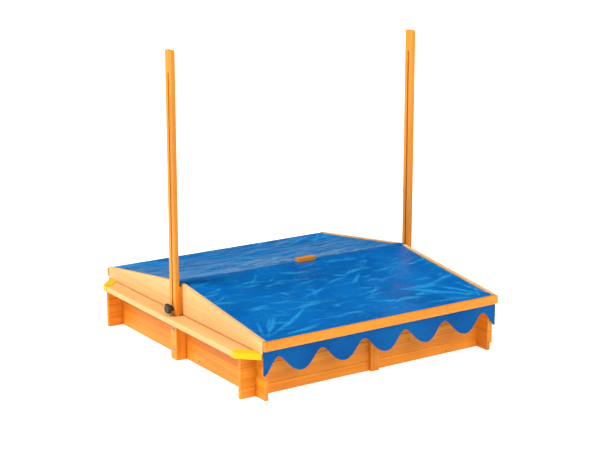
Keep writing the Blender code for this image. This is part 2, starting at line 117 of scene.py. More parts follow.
class Graph:
    """A material under construction: nodes are added by kind and joined by their sockets."""

    def __init__(self, name):
        self.material = bpy.data.materials.new(name)
        self.material.use_nodes = True
        self.tree = self.material.node_tree
        self.shader = self.tree.nodes["Principled BSDF"]
        self.position = self.node("TexCoord", {}).outputs["Object"]

    def give(self, socket, value):
        if isinstance(value, bpy.types.NodeSocket):
            self.tree.links.new(value, socket)
        else:
            socket.default_value = value

    def node(self, kind, inputs, **settings):
        made = self.tree.nodes.new("ShaderNode" + kind)
        for key, value in settings.items():
            setattr(made, key, value)
        for socket, value in inputs.items():
            self.give(made.inputs[socket], value)
        return made

    def sum(self, operation, *values):
        made = self.node("Math", dict(enumerate(values)), operation=operation)
        return made.outputs[0]

    def vector(self, operation, *values):
        made = self.node("VectorMath", dict(enumerate(values)), operation=operation)
        return made.outputs["Value" if operation in ("DOT_PRODUCT", "LENGTH") else "Vector"]

    def placed(self, scale=(1, 1, 1), offset=(0, 0, 0), turn=(0, 0, 0)):
        inputs = {"Vector": self.position, "Scale": scale, "Location": offset, "Rotation": turn}
        return self.node("Mapping", inputs).outputs[0]

    def noise(self, vector, scale, detail=3.0, roughness=0.5, distortion=0.0):
        inputs = {
            "Vector": vector,
            "Scale": scale,
            "Detail": detail,
            "Roughness": roughness,
            "Distortion": distortion,
        }
        return self.node("TexNoise", inputs).outputs[0]

    def spread(self, value, low, high, to_low=0.0, to_high=1.0):
        inputs = {"Value": value, "From Min": low, "From Max": high, "To Min": to_low, "To Max": to_high}
        return self.node("MapRange", inputs, interpolation_type="SMOOTHSTEP").outputs[0]

    def mix(self, factor, first, second):
        """A colour between two."""
        made = self.node("Mix", {0: factor}, data_type="RGBA")
        self.give(made.inputs[6], first if isinstance(first, bpy.types.NodeSocket) else opaque(first))
        self.give(made.inputs[7], second if isinstance(second, bpy.types.NodeSocket) else opaque(second))
        return made.outputs[2]

    def set(self, **values):
        for key, value in values.items():
            self.give(self.shader.inputs[key.replace("_", " ").title().replace("Ior", "IOR")], value)

    def bump(self, height, distance, strength=1.0):
        inputs = {"Height": height, "Distance": distance, "Strength": strength}
        if self.shader.inputs["Normal"].is_linked:
            inputs["Normal"] = self.shader.inputs["Normal"].links[0].from_socket
        self.give(self.shader.inputs["Normal"], self.node("Bump", inputs).outputs[0])


def opaque(colour):
    return tuple(colour[:3]) + (1.0,)


def shade(colour, factor):
    return tuple(channel * factor for channel in colour[:3])


def wood(name, tone, low, high, seed, knots=0):
    """Stained softwood: growth rings round a pith beside the board, fibres along it, and a painted highlight
    that makes its edges paler.
    """
    g = Graph(name)
    draw = random.Random(seed)
    size = high - low
    middle = (high + low) / 2
    along = max(range(3), key=lambda i: size[i])
    across = min(range(3), key=lambda i: size[i])
    wide = 3 - along - across
    pith = [0.0, 0.0, 0.0]
    pith[across] = draw.choice((-1, 1)) * draw.uniform(0.035, 0.075)
    pith[wide] = draw.uniform(-0.35, 0.35) * size[wide]
    pith[along] = draw.uniform(0, 10)
    turn = [draw.uniform(-0.012, 0.012) for _ in range(3)]
    turn[along] = 0.0
    stretch = [1.0, 1.0, 1.0]
    stretch[along] = 0.10
    offset = [p - m * s for p, m, s in zip(pith, middle, stretch)]
    grain = g.placed(stretch, offset, turn)
    bend = None
    knot_mask = None
    for _ in range(knots):
        centre = list(middle)
        centre[along] += draw.uniform(-0.42, 0.42) * size[along]
        centre[wide] += draw.uniform(-0.3, 0.3) * size[wide]
        radius = draw.uniform(0.0035, 0.0065)
        squeeze = [1.0, 1.0, 1.0]
        squeeze[along] = 0.55
        squeeze[across] = 0.0
        away = g.vector("MULTIPLY", g.vector("SUBTRACT", g.position, tuple(centre)), tuple(squeeze))
        distance = g.vector("LENGTH", away)
        swell = g.spread(distance, radius * 5.0, radius * 0.6, 0.0, radius * 1.4)
        spot = g.spread(distance, radius, radius * 0.72, 0.0, 1.0)
        bend = swell if bend is None else g.sum("ADD", bend, swell)
        knot_mask = spot if knot_mask is None else g.sum("MAXIMUM", knot_mask, spot)
    if bend is not None:
        shove = g.node("CombineXYZ", {"XYZ"[across]: bend}).outputs[0]
        grain = g.vector("ADD", grain, shove)
    spacing = draw.uniform(0.0026, 0.0042)
    rings = g.node("TexWave", {
        "Vector": grain,
        "Scale": 2 * math.pi / (20 * spacing),
        "Distortion": 5.5,
        "Detail": 2.0,
        "Detail Scale": 0.07,
    }, wave_type="RINGS", rings_direction="XYZ"[along], wave_profile="SAW").outputs["Fac"]
    late = g.sum("POWER", rings, 2.6)
    thin = [1.0, 1.0, 1.0]
    thin[along] = 0.022
    fibre = g.noise(g.placed(thin, offset), 850.0, 2.0, 0.55)
    blotch = g.noise(g.placed(stretch, offset), 16.0, 3.0, 0.6)
    tint = draw.uniform(0.93, 1.05)
    light, dark = shade(tone[0], tint), shade(tone[1], tint)
    patchy = g.sum("MULTIPLY", g.spread(blotch, 0.35, 0.70), 0.45)
    amount = g.sum("ADD", g.sum("MULTIPLY", late, 0.55), patchy)
    colour = g.mix(amount, light, dark)
    colour = g.mix(g.spread(fibre, 0.52, 0.78, 0.0, 0.35), colour, shade(dark, 0.80))
    if knot_mask is not None:
        colour = g.mix(g.sum("MULTIPLY", knot_mask, 0.55), colour, shade(dark, 0.55))
    # Painted highlight: the board's edges are made paler, as where light catches them.
    edge_glint = painted_edge_highlight(g, low, high)
    colour = g.mix(edge_glint, colour, shade(light, 1.18))
    g.set(base_color=colour, roughness=g.spread(fibre, 0.3, 0.8, 0.40, 0.60))
    g.shader.inputs["Specular IOR Level"].default_value = 0.22
    g.shader.inputs["Coat Weight"].default_value = 0.04
    g.shader.inputs["Coat Roughness"].default_value = 0.35
    g.bump(late, 0.00022, 0.55)
    g.bump(fibre, 0.00030, 0.60)
    return g.material


def painted_edge_highlight(g, low, high, width=0.0045):
    """Where the painted edge highlight goes: 1 on a board's edges, where two of its faces meet, and 0 on its
    faces, broken into patches.
    """
    middle = (low + high) / 2
    half = (high - low) / 2
    away = g.vector("ABSOLUTE", g.vector("SUBTRACT", g.position, tuple(middle)))
    start = tuple(max(h - width, 0.0) for h in half)
    near = g.node("MapRange", {6: away, 7: start, 8: tuple(half), 9: (0, 0, 0), 10: (1, 1, 1)},
                  data_type="FLOAT_VECTOR", interpolation_type="SMOOTHSTEP")
    near = near.outputs["Vector"]
    parts = g.node("SeparateXYZ", {0: near}).outputs
    turned = g.node("CombineXYZ", {0: parts[1], 1: parts[2], 2: parts[0]}).outputs[0]
    edge = g.vector("DOT_PRODUCT", near, turned)
    patch = g.spread(g.noise(g.position, 90.0, 3.0, 0.6), 0.38, 0.70, 0.10, 0.60)
    return g.node("Math", {0: edge, 1: patch}, operation="MULTIPLY", use_clamp=True).outputs[0]


def fabric(name, flat_axes, gloss, painted_light_scale):
    """Coated woven polyester: a fine weave under a glossy coat, with a painted highlight of paler blue along
    the crests of creases.
    """
    g = Graph(name)
    shift = g.noise(g.position, 5.0, 3.0, 0.55)
    # The fabric's colours and sheen are scaled by a painted light factor: below 1 it is painted shade, above
    # 1 painted light.
    colour = g.mix(g.spread(shift, 0.3, 0.7), shade(FABRIC_DEEP, painted_light_scale), shade(FABRIC_BLUE, painted_light_scale))
    # Painted highlight along the pressed creases, from their height, broken into patches.
    crease_highlight_amount = g.node("Attribute", {}, attribute_name="crease_highlight").outputs["Fac"]
    highlight_breakup = g.spread(g.noise(g.position, 130.0, 3.0, 0.6), 0.30, 0.62, 0.35, 1.0)
    colour = g.mix(g.sum("MULTIPLY", crease_highlight_amount, highlight_breakup), colour, shade(FABRIC_HIGHLIGHT, painted_light_scale))
    height = None
    for scale, line, layer in ((13.0, 0.020, 0.0), (31.0, 0.030, 3.1)):
        creased = g.noise(g.placed((0.50, 1.55, 1.55), (layer, layer, layer)), scale, 2.5, 0.55, 0.9)
        broken = g.spread(g.noise(g.placed((1, 1, 1), (layer, 5.0, layer)), scale * 0.8, 2.0), 0.50, 0.66)
        ridge = g.spread(g.sum("ABSOLUTE", g.sum("SUBTRACT", creased, 0.5)), line, 0.0)
        crest = g.sum("MULTIPLY", ridge, broken)
        # Painted highlight: the crests of these bump creases are tinted paler blue, as where light glints on
        # them.
        colour = g.mix(g.sum("MULTIPLY", crest, 0.22), colour, shade(FABRIC_HIGHLIGHT, painted_light_scale))
        height = crest if height is None else g.sum("ADD", height, crest)
    g.set(base_color=colour, roughness=g.spread(shift, 0.25, 0.75, 0.26, 0.36))
    g.shader.inputs["Specular IOR Level"].default_value = gloss
    g.shader.inputs["Sheen Weight"].default_value = 0.50 * painted_light_scale
    g.shader.inputs["Sheen Roughness"].default_value = 0.30
    g.shader.inputs["Sheen Tint"].default_value = SHEEN_TINT
    g.bump(height, 0.0011, 0.9)
    g.bump(g.noise(g.placed((0.6, 1.3, 1.3)), 60.0, 3.0, 0.6), 0.0012, 0.5)
    threads = []
    for axis in flat_axes:
        band = g.node("TexWave", {
            "Vector": g.position,
            "Scale": 2 * math.pi / (20 * THREAD_PITCH),
            "Distortion": 0.0,
        }, wave_type="BANDS", bands_direction=axis, wave_profile="SIN").outputs["Fac"]
        threads.append(band)
    g.bump(g.sum("MULTIPLY", *threads), 0.00012, 0.35)
    return g.material


def moulded(name, colour, roughness, scuff, gloss=0.5):
    """Moulded plastic: a fine spark-eroded skin with scuffs along its life."""
    g = Graph(name)
    skin = g.noise(g.position, 1400.0, 2.0, 0.5)
    broad = g.noise(g.position, 34.0, 4.0, 0.6)
    scratches = g.noise(g.placed((9.0, 1.0, 3.0), turn=(0.4, 0.2, 0.7)), 90.0, 2.0, 0.6)
    g.set(
        base_color=g.mix(g.spread(broad, 0.35, 0.75, 0.0, scuff), colour, shade(colour, 0.80)),
        roughness=g.spread(scratches, 0.3, 0.8, roughness - 0.06, roughness + 0.12),
    )
    g.shader.inputs["Specular IOR Level"].default_value = gloss
    g.bump(skin, 0.00010, 0.45)
    g.bump(broad, 0.00025, 0.25)
    return g.material


def plated(name, colour, tarnish, roughness):
    """Plated steel: bright, with cloudy passivation and fine wear."""
    g = Graph(name)
    cloud = g.noise(g.position, 160.0, 4.0, 0.6)
    fine = g.noise(g.position, 1800.0, 2.0, 0.5)
    g.set(
        base_color=g.mix(g.spread(cloud, 0.35, 0.7), colour, tarnish),
        roughness=g.spread(cloud, 0.3, 0.75, roughness - 0.07, roughness + 0.12),
    )
    g.shader.inputs["Metallic"].default_value = 1.0
    g.bump(fine, 0.00003, 0.4)
    return g.material


# The last figure is painted light: the valance's copy of the fabric is darkened to 0.72 as painted shade, the
# roof's lightened a little to 1.05.
ROOF_FABRIC = fabric("roof_fabric", "XY", 0.18, 1.05)
VALANCE_FABRIC = fabric("valance_fabric", "XZ", 0.05, 0.72)
THREAD = moulded("sewing_thread", (0.010, 0.070, 0.240), 0.6, 0.4)
YELLOW = moulded("yellow_plastic", (0.93, 0.500, 0.001), 0.42, 0.30, 0.25)
BLACK = moulded("black_plastic", (0.010, 0.010, 0.012), 0.34, 0.5)
ZINC = plated("zinc_plated_steel", (0.46, 0.43, 0.38), (0.29, 0.27, 0.25), 0.34)
YELLOW_ZINC = plated("yellow_zinc_plated_steel", (0.60, 0.46, 0.22), (0.38, 0.28, 0.13), 0.36)


def give_material(obj, material):
    if obj.material_slots:
        for slot in obj.material_slots:
            slot.material = material
    else:
        obj.data.materials.append(material)


def dress_wood():
    """Gives each board its own cut of wood."""
    tones = (
        ("wall", WALL_TONE, 1),
        ("support", WALL_TONE, 0),
        ("seat", PALE_TONE, 2),
        ("post_spacer", POST_TONE, 0),
        ("post", POST_TONE, 1),
        ("gable", PALE_TONE, 0),
        ("guide_batten", TRIM_TONE, 0),
        ("ridge_pole", PALE_TONE, 1),
        ("rail", PALE_TONE, 1),
        ("strip", TRIM_TONE, 0),
        ("ridge_handle", TRIM_TONE, 0),
    )
    for seed, name in enumerate(sorted(NODES)):
        if "bolt" in name or "nut" in name:
            continue
        for prefix, tone, knots in tones:
            if name.startswith(prefix):
                low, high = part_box(name)
                give_material(NODES[name], wood(f"{name}_wood", tone, low, high, seed + 11, knots))
                break


# ---------------------------------------------------------------- mesh helpers

def new_object(name, work, materials, smooth_angle=35):
    """A mesh object from a bmesh, shaded smooth between its corners."""
    work.normal_update()
    bmesh.ops.recalc_face_normals(work, faces=work.faces)
    mesh = bpy.data.meshes.new(name)
    work.to_mesh(mesh)
    work.free()
    mesh.shade_smooth()
    mesh.set_sharp_from_angle(angle=math.radians(smooth_angle))
    for material in materials:
        mesh.materials.append(material)
    obj = bpy.data.objects.new(name, mesh)
    bpy.context.scene.collection.objects.link(obj)
    return obj


def grid_faces(work, rows):
    """Joins rows of vertices with quads."""
    for first, second in zip(rows, rows[1:]):
        for i in range(len(first) - 1):
            work.faces.new((first[i], first[i + 1], second[i + 1], second[i]))


def join_rings(work, rings, steps):
    """Joins rings of vertices with faces: a ring of one vertex is a pole."""
    for first, second in zip(rings, rings[1:]):
        for i in range(steps):
            j = (i + 1) % steps
            here = (first[i % len(first)], first[j % len(first)])
            there = (second[j % len(second)], second[i % len(second)])
            work.faces.new(list(dict.fromkeys(here + there)))


def turned(work, profile, steps, place, radius_at=None):
    """Adds a closed turned piece to a bmesh: profile is (radius, height) from pole to pole."""
    rings = []
    for radius, height in profile:
        if radius == 0:
            rings.append([work.verts.new(place @ Vector((0, 0, height)))])
            continue
        ring = []
        for i in range(steps):
            angle = 2 * math.pi * i / steps
            r = radius_at(radius, height, angle) if radius_at else radius
            ring.append(work.verts.new(place @ Vector((r * math.cos(angle), r * math.sin(angle), height))))
        rings.append(ring)
    join_rings(work, rings, steps)


def facing(point, axis):
    """A frame at a point whose own +Z points along an axis."""
    turn = Vector(axis).to_track_quat("Z", "Y").to_matrix().to_4x4()
    return Matrix.Translation(point) @ turn


# ---------------------------------------------------------------- roof fabric

def smooth_ramp(value):
    """0 up to 0, 1 from 1 on, and an even curve between: of a number or an array."""
    value = np.clip(value, 0, 1)
    return value * value * (3 - 2 * value)


def roof_corners():
    """Corners of the fabric's section, front tail to back tail, on the middle of the cloth."""
    low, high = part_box("roof_tarp")
    rail_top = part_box("rail_front")[1].z
    ridge_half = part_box("ridge_pole")[1].y + 0.002
    inset = 0.0006
    out, tail = high.y - inset, low.z
    edge, ridge = rail_top + 0.002 - inset, high.z - inset
    half = [(out, tail), (out, edge), (ridge_half, ridge)]
    return [(-y, z) for y, z in half] + [(y, z) for y, z in reversed(half)]


def along_path(corners, step):
    """Evenly spaced points along a line through corners, with the corners rounded."""
    points = []
    for (y0, z0), (y1, z1) in zip(corners, corners[1:]):
        count = max(2, round(math.hypot(y1 - y0, z1 - z0) / step))
        for i in range(count):
            points.append((y0 + (y1 - y0) * i / count, z0 + (z1 - z0) * i / count))
    points.append(corners[-1])
    rounded = [points[0]]
    for a, b, c in zip(points, points[1:], points[2:]):
        rounded.append(((a[0] + 2 * b[0] + c[0]) / 4, (a[1] + 2 * b[1] + c[1]) / 4))
    return rounded + [points[-1]]


def crease_lines(draw, half_x, reach):
    """Folds pressed into one slope: mostly along the rail, with pulls out of the corners at the rail.

    Each is its middle along and down the slope, heading, half length, width, height and bend.
    """
    lines = []
    for _ in range(CREASE_COUNT):
        heading = draw.gauss(0.0, 0.24)
        if draw.random() < 0.16:
            heading += draw.choice((-1, 1)) * draw.uniform(0.5, 1.1)
        lines.append((
            draw.uniform(-half_x, half_x),
            draw.uniform(0.02, 0.97) * reach,
            heading,
            draw.uniform(0.014, 0.10),
            draw.uniform(0.0042, 0.0075),
            draw.choice((1, 1, 1, -1)) * draw.uniform(0.0003, 0.0017),
            draw.uniform(-3.0, 3.0),
        ))
    for side in (-1, 1):
        for angle, length, height in CORNER_PULLS:
            turn = math.radians(angle + draw.uniform(-4, 4))
            away = 0.012 + length
            x = side * (half_x - away * math.cos(turn))
            t = reach - away * math.sin(turn)
            lines.append((x, t, side * turn, length, CREASE_WIDTH, height, 0.3 * side))
    return lines


def press(lines, x, t):
    """Height of crease lines at points of a slope: t is the distance from the ridge."""
    height = np.zeros_like(x)
    for line_x, line_t, heading, length, width, tall, bend in lines:
        dx, dt = x - line_x, t - line_t
        along = dx * math.cos(heading) + dt * math.sin(heading)
        off = dt * math.cos(heading) - dx * math.sin(heading) - bend * along ** 2
        fade = np.clip(1 - (along / length) ** 2, 0, 1) ** 1.5
        height += tall * np.exp(-np.abs(off / width) ** 1.6) * fade
    return height


def rolling(x, y, seed):
    """Broad uneven waves, longer along the rail than across it."""
    draw = random.Random(seed)
    height = np.zeros_like(x)
    for wavelength, tall in BROAD_WAVES:
        for _ in range(3):
            heading = math.pi / 2 + draw.gauss(0, 0.5)
            phase = draw.uniform(0, 2 * math.pi)
            bent = 0.5 * np.sin(5.1 * x + 3.7 * y + phase)
            wave = 2 * math.pi / wavelength * (x * math.cos(heading) + y * math.sin(heading)) + phase + bent
            height += tall / 2 * np.sin(wave + 0.5 * np.sin(wave))
    return height


def roof_height(x, reach_in, half_x, reach, draw):
    """How far the fabric lies off its straight slope, and how creased it is there from 0 to 1, which sets the
    strength of the painted crease highlight.

    The place is given by the distances along the ridge and down the slope.
    """
    to_gable = half_x - np.abs(x)
    to_rail = reach - reach_in
    t = reach_in / reach
    free = smooth_ramp(to_rail / 0.03) * smooth_ramp((reach_in - 0.003) / 0.03)
    inside = smooth_ramp(to_gable / 0.03)
    sag = -ROOF_SAG * 4 * t * (1 - t) * (1 - (np.abs(x) / half_x) ** 4)
    height = rolling(x, reach_in, draw.random()) * (0.1 + 0.9 * free * inside)
    creases = press(crease_lines(draw, half_x, reach), x, reach_in) * free * smooth_ramp(to_gable / 0.010)
    rail_side = smooth_ramp((to_rail - 0.02) / 0.02) * smooth_ramp((reach_in - 0.02) / 0.02)
    dip = smooth_ramp(1 - to_gable / 0.012) * rail_side
    return sag + height + creases - EDGE_DIP * dip, smooth_ramp(creases / CREASE_HIGHLIGHT_FULL)


def roof_fabric():
    """One sheet: down behind the front strip, up over the ridge, and down behind the back strip."""
    corners = roof_corners()
    path = np.array(along_path(corners, CLOTH_STEP))
    half_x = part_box("roof_tarp")[1].x - EDGE_SPARE
    rail_y, ridge_y = corners[4][0], corners[3][0]
    columns = round(2 * half_x / CLOTH_STEP)
    x, y = np.meshgrid(np.linspace(-half_x, half_x, columns + 1), path[:, 0])
    z = np.repeat(path[:, 1][:, None], columns + 1, axis=1)
    draw = random.Random(41)
    # Strength of the painted crease highlight at each point of the sheet.
    crease_highlight = np.zeros_like(x)
    for end in (-1, 1):
        slope = (end * y > ridge_y) & (end * y < rail_y - 0.004)
        lift, crease_highlight[slope] = roof_height(x[slope], end * y[slope] - ridge_y, half_x, rail_y - ridge_y, draw)
        z[slope] += lift
    work = bmesh.new()
    rows = [[work.verts.new(point) for point in zip(*row)] for row in zip(x, y, z)]
    grid_faces(work, rows)
    flat = 0.0
    for (y0, z0), (y1, z1) in zip(corners, corners[1:]):
        flat += math.hypot(y1 - y0, z1 - z0)
    sheet = new_object("roof_fabric", work, [ROOF_FABRIC], 80)
    # Stored on the mesh for the painted crease highlight in the fabric's material.
    highlight_layer = sheet.data.attributes.new("crease_highlight", "FLOAT", "POINT")
    highlight_layer.data.foreach_set("value", crease_highlight.astype(np.float32).ravel())
    thicken(sheet)
    return sheet, (2 * half_x, flat)


def thicken(sheet, thickness=CLOTH_THICK):
    solid = sheet.modifiers.new("Thickness", "SOLIDIFY")
    solid.thickness = thickness
    solid.offset = 0.0
    solid.use_rim = True


def ridge_tab(name, side):
    """The ridge end of the fabric, folded over the top of a gable."""
    gable_low, gable_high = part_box(f"gable_{name}")
    inner = min(abs(gable_low.x), abs(gable_high.x))
    outer = max(abs(gable_low.x), abs(gable_high.x))
    top = gable_high.z
    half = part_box("ridge_pole")[1].y + 0.001
    skin = CLOTH_THICK / 2 + 0.0002
    section = [
        (inner - 0.016, top - 0.0003),
        (inner - 0.006, top - 0.0002),
        (inner - 0.001, top + skin),
        (inner + 0.006, top + skin + 0.0004),
        (outer - 0.002, top + skin + 0.0003),
        (outer + 0.0028, top + skin - 0.0002),
        (outer + 0.0052, top - 0.0020),
        (outer + 0.0062, top - 0.0060),
        (outer + 0.0062, top - 0.0085),
    ]
    work = bmesh.new()
    rows = []
    count = 12
    for x, z in section:
        row = []
        for i in range(count + 1):
            y = half * (2 * i / count - 1)
            lift = 0.0006 * math.sin(9.0 * i / count + x * 60) * smooth_ramp((x - inner) / 0.01)
            droop = 0.0022 * (abs(y) / half) ** 2 * smooth_ramp((x - inner) / 0.012)
            row.append(work.verts.new((side * x, y, z + lift - droop)))
        rows.append(row)
    grid_faces(work, rows)
    tab = new_object(f"ridge_tab_{name}", work, [ROOF_FABRIC], 80)
    thicken(tab, 0.0010)
    fine = tab.modifiers.new("Round", "SUBSURF")
    fine.levels = 1
    fine.render_levels = 1
    return tab


# ---------------------------------------------------------------- valances

SCALLOPS = 6
SCALLOP_FULL = 0.25
SCALLOP_LEAN = 0.2
SCALLOP_SPREAD = 1.06
SCALLOP_END_POWER = 15
CORNER_ROUND = 0.012
NOTCH_DROP = 0.031  # notches below the lower edge of the strip


def scallop(share, notch, lobe):
    """Height of a valance's lower edge: share runs evenly over the scallops, from -1 to 1."""
    turn = math.pi * SCALLOPS * (share + 1)
    lean = SCALLOP_LEAN * (0.5 + 0.5 * math.cos(turn))
    drop = 0.5 + 0.5 * math.cos(turn - SCALLOP_FULL * math.sin(turn) - lean)
    return notch + (lobe - notch) * drop


def scallop_x(share):
    """Where a scallop's point falls across the valance: the lobes at the ends are narrower."""
    return SCALLOP_SPREAD * share + (1 - SCALLOP_SPREAD) * share ** SCALLOP_END_POWER


def valance(name, end):
    """A scalloped sheet that hangs from behind a strip, with a sewn hem and slight waves."""
    low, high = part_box(f"valance_{name}")
    strip_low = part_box(f"strip_{name}")[0]
    half_x = high.x
    top = high.z - 0.001
    notch_z = strip_low.z - NOTCH_DROP
    middle = (low.y + high.y) / 2
    columns, count = 264, 26
    work = bmesh.new()
    rows = [[] for _ in range(count + 1)]
    flat_area = 0.0
    lower_edge = []
    for i in range(columns + 1):
        share = 2 * i / columns - 1
        x = half_x * scallop_x(share)
        bottom = scallop(share, notch_z, low.z)
        past = max(0.0, abs(x) - (half_x - CORNER_ROUND)) / CORNER_ROUND
        bottom += CORNER_ROUND * (1 - math.sqrt(1 - min(past, 1.0) ** 2))
        if i > 0:
            flat_area += (x - last_x) * (top - (bottom + last_bottom) / 2)
        last_x, last_bottom = x, bottom
        for j in range(count + 1):
            z = top + (bottom - top) * (j / count)
            below = max(0.0, strip_low.z - z)
            free = smooth_ramp(below / 0.05)
            uneven = noise.noise(Vector((x * 17.0, z * 14.0, 4.0 * end)))
            wave = math.sin(x * 36.0 + 1.1 * math.sin(x * 9.0)) + 0.6 * uneven
            y = middle + end * RIPPLE * free * (0.35 + wave * 0.55)
            to_edge = z - bottom
            hem = 0.00035 if to_edge < HEM else 0.0
            row_y = y + end * hem * free
            rows[j].append(work.verts.new((x, row_y, z)))
        lower_edge.append(Vector((x, y, bottom)))
    grid_faces(work, rows)
    cloth = new_object(f"valance_cloth_{name}", work, [VALANCE_FABRIC], 80)
    thicken(cloth)
    hem_line = inset_line(lower_edge, HEM * 0.72)
    sewn = stitches(f"valance_stitches_{name}", hem_line, Vector((0, end, 0)))
    return cloth, sewn, (2 * half_x, top - low.z), flat_area


def inset_line(edge, distance):
    """A line beside an edge, on the side of the cloth."""
    moved = []
    for before, point, after in zip([edge[0]] + edge, edge, edge[1:] + [edge[-1]]):
        tangent = (after - before).normalized()
        normal = Vector((-tangent.z, 0, tangent.x))
        moved.append(point + normal * distance)
    return [p for p in moved if abs(p.x) < abs(edge[0].x) - distance]


def walk(line, step):
    """Points at even steps along a line, each with its direction."""
    found = []
    carry = 0.0
    for a, b in zip(line, line[1:]):
        length = (b - a).length
        if length < 1e-9:
            continue
        direction = (b - a) / length
        while carry <= length:
            found.append((a + direction * carry, direction))
            carry += step
        carry -= length
    return found


def stitches(name, line, out):
    """A row of sewn stitches along a line: short rounded lengths of thread standing on the cloth."""
    work = bmesh.new()
    radius = STITCH_RADIUS
    lift = CLOTH_THICK / 2 + radius + 0.0001
    sides = 6
    for point, direction in walk(line, STITCH + STITCH_GAP):
        side_way = direction.cross(out).normalized()
        rings = []
        for share, fat in ((0.0, 0.0), (0.10, 0.8), (0.5, 1.0), (0.90, 0.8), (1.0, 0.0)):
            centre = point + direction * (STITCH * share) + out * lift
            if fat == 0.0:
                rings.append([work.verts.new(centre - out * radius)])
                continue
            ring = []
            for k in range(sides):
                angle = 2 * math.pi * k / sides
                spoke = side_way * math.cos(angle) + out * math.sin(angle)
                ring.append(work.verts.new(centre + spoke * radius * fat))
            rings.append(ring)
        join_rings(work, rings, sides)
    return new_object(name, work, [THREAD], 80)


# ---------------------------------------------------------------- hardware

def bolt(name, node, body, out_sign):
    """A domed bolt on a washer, its shank threaded at the end."""
    low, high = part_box(node)
    centre = (low + high) / 2
    outer = high.x if out_sign > 0 else low.x
    length = high.x - low.x
    head = 0.0045
    place = facing((outer - out_sign * head, centre.y, centre.z), (out_sign, 0, 0))
    dome = [
        (0, 0.00440), (0.0022, 0.00425), (0.0041, 0.0037),
        (0.0055, 0.0029), (0.0062, 0.0018), (0.0063, 0.0011),
    ]
    flange = [(0.0064, 0.00105), (0.0081, 0.00105), (0.0084, 0.0008), (0.0084, 0.0002), (0.0081, 0.0)]
    shank = 0.0040
    profile = dome + flange + [(shank, 0.0)]
    end = -(length - head)
    thread_length = 0.016
    thread_from = end + thread_length
    profile.append((shank, thread_from))
    pitch = 0.00125
    height = thread_from
    while height - pitch > end + 0.0008:
        profile.append((shank - 0.00055, height - pitch * 0.5))
        profile.append((shank - 0.00005, height - pitch))
        height -= pitch
    profile += [(shank - 0.0010, end), (0, end)]
    work = bmesh.new()
    turned(work, profile, 32, place)
    piece = new_object(name, work, [ZINC], 50)
    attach(piece, body)
    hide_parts(node)
    return piece


def hex_nut(name, node, body, out_sign):
    """A hexagon nut with chamfered corners."""
    low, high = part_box(node)
    centre = (low + high) / 2
    thick = high.x - low.x
    flats = (high.z - low.z) / 2 if (high.z - low.z) < (high.y - low.y) else (high.y - low.y) / 2
    corner = flats / math.cos(math.pi / 6)
    start = 0.0 if (high.y - low.y) > (high.z - low.z) else math.pi / 6
    place = facing((centre.x - out_sign * thick / 2, centre.y, centre.z), (out_sign, 0, 0))

    def hexagon(radius, height, angle):
        if radius < 0.005:
            return radius
        local = (angle + start) % (math.pi / 3) - math.pi / 6
        return min(radius, flats / math.cos(local))

    bore = 0.00425
    chamfer = flats * 0.97
    profile = [
        (bore, 0.0006), (bore + 0.0004, 0.0), (chamfer, 0.0), (corner, 0.0011), (corner, thick - 0.0011),
        (chamfer, thick), (bore + 0.0004, thick), (bore, thick - 0.0006), (bore, 0.0006),
    ]
    work = bmesh.new()
    turned(work, profile, 48, place, hexagon)
    bmesh.ops.remove_doubles(work, verts=work.verts, dist=0.00002)
    piece = new_object(name, work, [ZINC], 25)
    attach(piece, body)
    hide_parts(node)
    return piece


def knob(name, node, body, side):
    """A clamping knob with six rounded lobes, a dished top and a collar at its foot."""
    low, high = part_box(node)
    seat = low.x if side > 0 else high.x
    place = facing((seat, (low.y + high.y) / 2, (low.z + high.z) / 2), (side, 0, 0))
    top = high.x - low.x
    radius = max(high.z - low.z, high.y - low.y) / 2

    def lobed(r, height, angle):
        grip = smooth_ramp((r / radius - 0.45) / 0.4)
        hollow = (0.5 - 0.5 * math.cos(6 * angle)) ** 1.5
        return r * (1 - 0.150 * grip * hollow)

    head = [  # radius as a share of the knob's, depth below its top
        (0, 0.0022), (0.20, 0.0021), (0.34, 0.0018), (0.40, 0.0008), (0.46, 0.0001), (0.60, 0.0),
        (0.76, 0.0006), (0.88, 0.0019), (0.96, 0.0040), (1.0, 0.0068), (1.0, 0.0115), (0.965, 0.0150),
        (0.86, 0.0176), (0.66, 0.0192), (0.54, 0.0205), (0.50, 0.0225),
    ]
    foot = [(0.50, 0.0022), (0.53, 0.0010), (0.53, 0.0003), (0.50, 0.0)]
    bore, bore_depth = 0.0045, 0.0135
    profile = [(share * radius, top - painted_light_scale) for share, painted_light_scale in head]
    profile += [(share * radius, height) for share, height in foot]
    profile += [(bore, 0.0), (bore, bore_depth), (0, bore_depth)]
    work = bmesh.new()
    turned(work, profile, 96, place, lobed)
    piece = new_object(name, work, [BLACK], 60)
    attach(piece, body)
    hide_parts(node)
    return piece


def washer(name, node, body):
    """A flat washer with rounded rims."""
    low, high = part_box(node)
    centre = (low + high) / 2
    thick = high.x - low.x
    outer, bore = (high.z - low.z) / 2, 0.0043
    place = facing((low.x, centre.y, centre.z), (1, 0, 0))
    rim = 0.0003
    profile = [
        (bore, rim), (bore + rim, 0), (outer - rim, 0), (outer, rim), (outer, thick - rim),
        (outer - rim, thick), (bore + rim, thick), (bore, thick - rim), (bore, rim),
    ]
    work = bmesh.new()
    turned(work, profile, 48, place)
    bmesh.ops.remove_doubles(work, verts=work.verts, dist=0.00002)
    piece = new_object(name, work, [ZINC], 50)
    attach(piece, body)
    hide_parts(node)
    return piece


SCREW_R = 0.0036
STRIP_SCREWS = (-1, -0.5, 0, 0.5, 1)  # shares of the way to the outermost screws
STRIP_SCREW_INSET = 0.020
SUPPORT_SCREWS = (0.24, 0.76)  # shares of a support's height
RIDGE_SCREWS = (-0.045, 0.045)
RIDGE_SCREW_DROP = 0.014
SEAT_SCREWS = (-0.43, -0.17, 0.17, 0.43)


